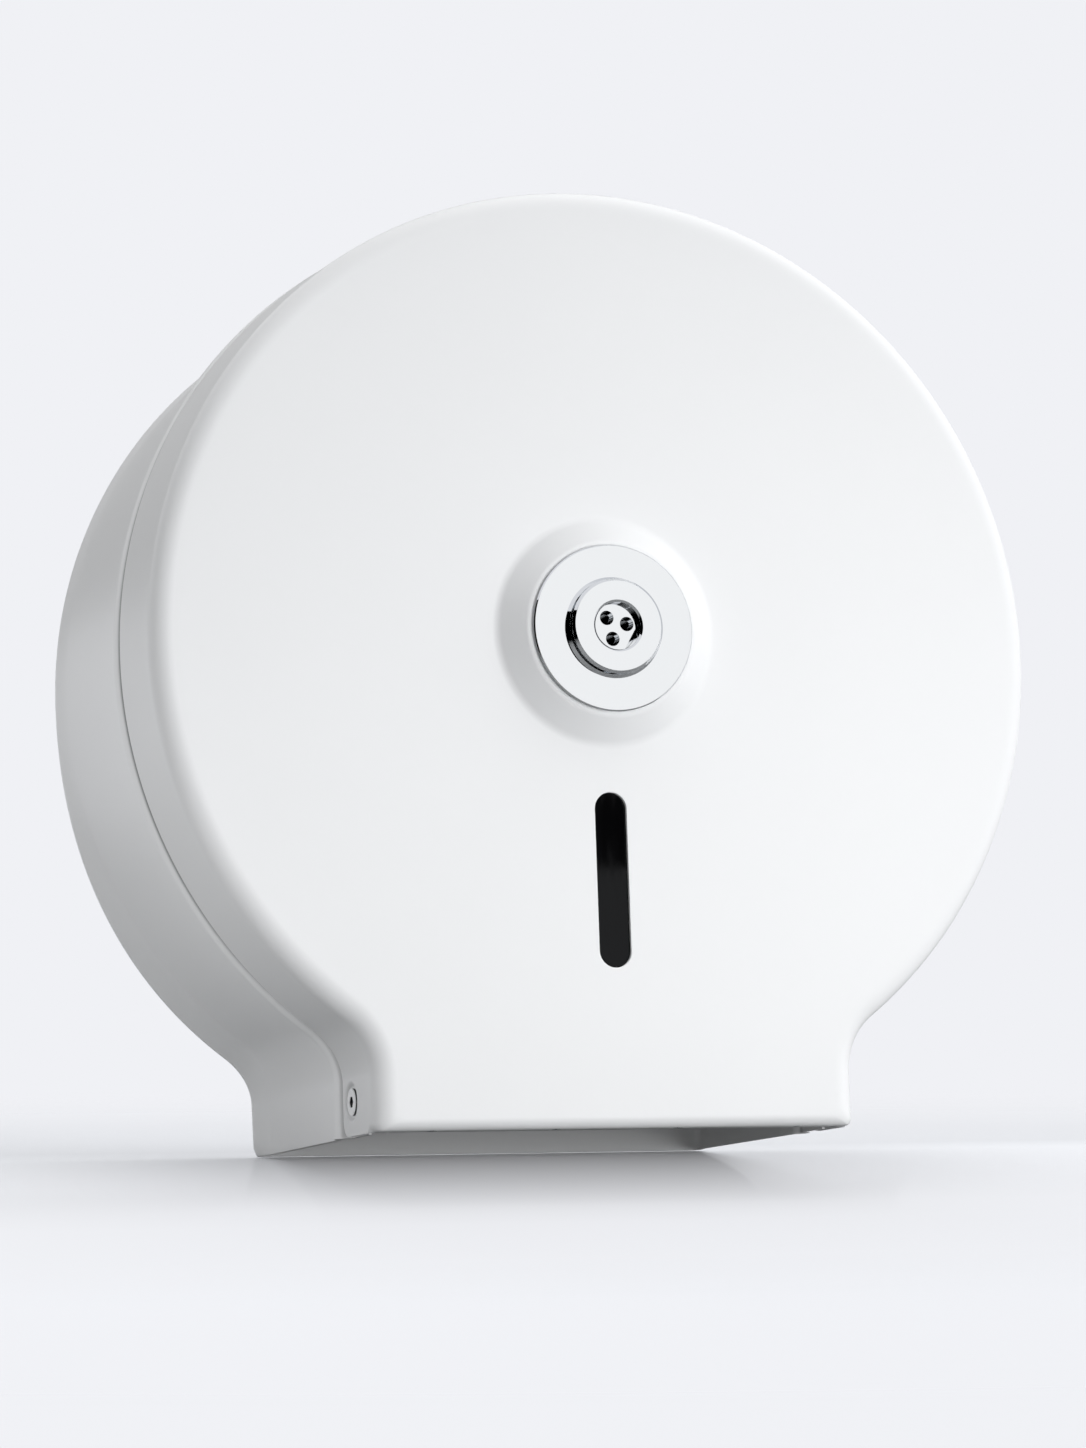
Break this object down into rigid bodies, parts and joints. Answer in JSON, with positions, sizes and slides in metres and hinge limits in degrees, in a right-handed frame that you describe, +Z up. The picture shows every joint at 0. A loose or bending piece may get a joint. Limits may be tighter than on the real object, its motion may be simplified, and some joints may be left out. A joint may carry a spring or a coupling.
{
  "type": "toilet roll dispenser",
  "caption": "Round wall-mounted dispenser for a large toilet roll, with a hinged sheet-steel cover, key lock, level slot, open bottom and turning roll carrier.",
  "frame": {"origin": "centre of the four fixing holes, on the wall plane, which is also the centre of the round part of the casing", "axes": "+Z up, +X to the right as seen from the front, -Y out of the wall towards the user"},
  "size_m": [0.2938, 0.147, 0.2974],
  "materials": {
    "painted_sheet": "satin white powder coat",
    "painted_screw": "satin white paint",
    "zinc_plated": "bright zinc plate",
    "bright_chrome": "polished",
    "blade_steel": "plain stainless strip",
    "moulded_plastic": "moulded, fine grain",
    "smoked_window": "glossy, dark smoked"
  },
  "bodies": {
    "casing": {"rear_casing": "painted_sheet", "spindle_flange": "zinc_plated", "spindle_rivets": "zinc_plated", "spindle": "zinc_plated", "hub_washer": "zinc_plated", "hub_clip": "zinc_plated", "strike_bracket": "zinc_plated", "strike_nut": "zinc_plated", "hinge_screws": "painted_screw", "hinge_washers": "moulded_plastic", "hinge_nuts": "zinc_plated"},
    "carrier": {"roll_hub": "moulded_plastic", "hub_end_cap": "moulded_plastic"},
    "cover": {"front_cover": "painted_sheet", "lock_bezel": "bright_chrome", "lock_body": "bright_chrome", "lock_washer": "zinc_plated", "lock_nut": "zinc_plated", "level_window": "smoked_window", "window_clips": "zinc_plated", "tear_blade": "blade_steel", "blade_rivets": "blade_steel"},
    "latch": {"lock_rotor": "bright_chrome", "lock_cam": "zinc_plated", "cam_screw": "zinc_plated"}
  },
  "joints": [
    {"name": "cover_hinge", "type": "hinge", "parent": "casing", "child": "cover", "pos_m": [0, -0.1085, -0.14], "axis": [1, 0, 0], "range_deg": [0, 95]},
    {"name": "lock_turn", "type": "hinge", "parent": "cover", "child": "latch", "pos_m": [0, -0.12, 0.0035], "axis": [0, 1, 0], "range_deg": [0, 90]},
    {"name": "carrier_spin", "type": "hinge", "parent": "casing", "child": "carrier", "pos_m": [0, -0.05, 0.0035], "axis": [0, 1, 0], "continuous": true}
  ]
}
